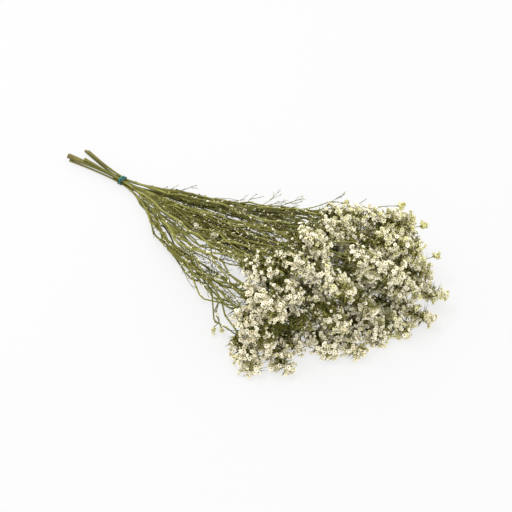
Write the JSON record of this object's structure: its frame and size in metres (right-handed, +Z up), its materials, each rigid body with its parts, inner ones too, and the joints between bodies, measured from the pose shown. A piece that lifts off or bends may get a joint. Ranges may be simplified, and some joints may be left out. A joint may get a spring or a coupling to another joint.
{
  "type": "dried statice bunch",
  "caption": "Bunch of branching dried statice lying down, with papery cream floret sprays on thin olive stems held by an elastic tie.",
  "frame": {"origin": "middle of the bunch's outline, on the surface that it lies on", "axes": "+X along the stems, from their cut ends towards the flower heads, +Z up"},
  "size_m": [0.517, 0.2882, 0.1021],
  "materials": {
    "stem": "dry olive stalk, matt, ribbed lengthwise, browner towards the cut ends",
    "floret": "papery cream calyx with a small brown centre, matt and slightly translucent",
    "tie": "teal elastic, satin"
  },
  "bodies": {
    "root": {"stem_1": "stem", "stem_2": "stem", "stem_3": "stem", "stem_4": "stem", "stem_5": "stem", "stem_6": "stem", "spray_1": "floret", "spray_2": "floret", "spray_3": "floret", "spray_4": "floret", "spray_5": "floret", "spray_6": "floret", "spray_7": "floret", "spray_8": "floret", "spray_9": "floret", "spray_10": "floret", "spray_11": "floret", "spray_12": "floret", "spray_13": "floret", "spray_14": "floret", "spray_15": "floret", "spray_16": "floret", "spray_17": "floret", "spray_18": "floret", "spray_19": "floret", "spray_20": "floret", "spray_21": "floret", "spray_22": "floret", "spray_23": "floret", "spray_24": "floret", "spray_25": "floret", "spray_26": "floret", "spray_27": "floret", "spray_28": "floret", "spray_29": "floret", "spray_30": "floret", "spray_31": "floret", "spray_32": "floret", "spray_33": "floret", "spray_34": "floret", "spray_35": "floret", "spray_36": "floret", "tie": "tie"}
  },
  "joints": []
}
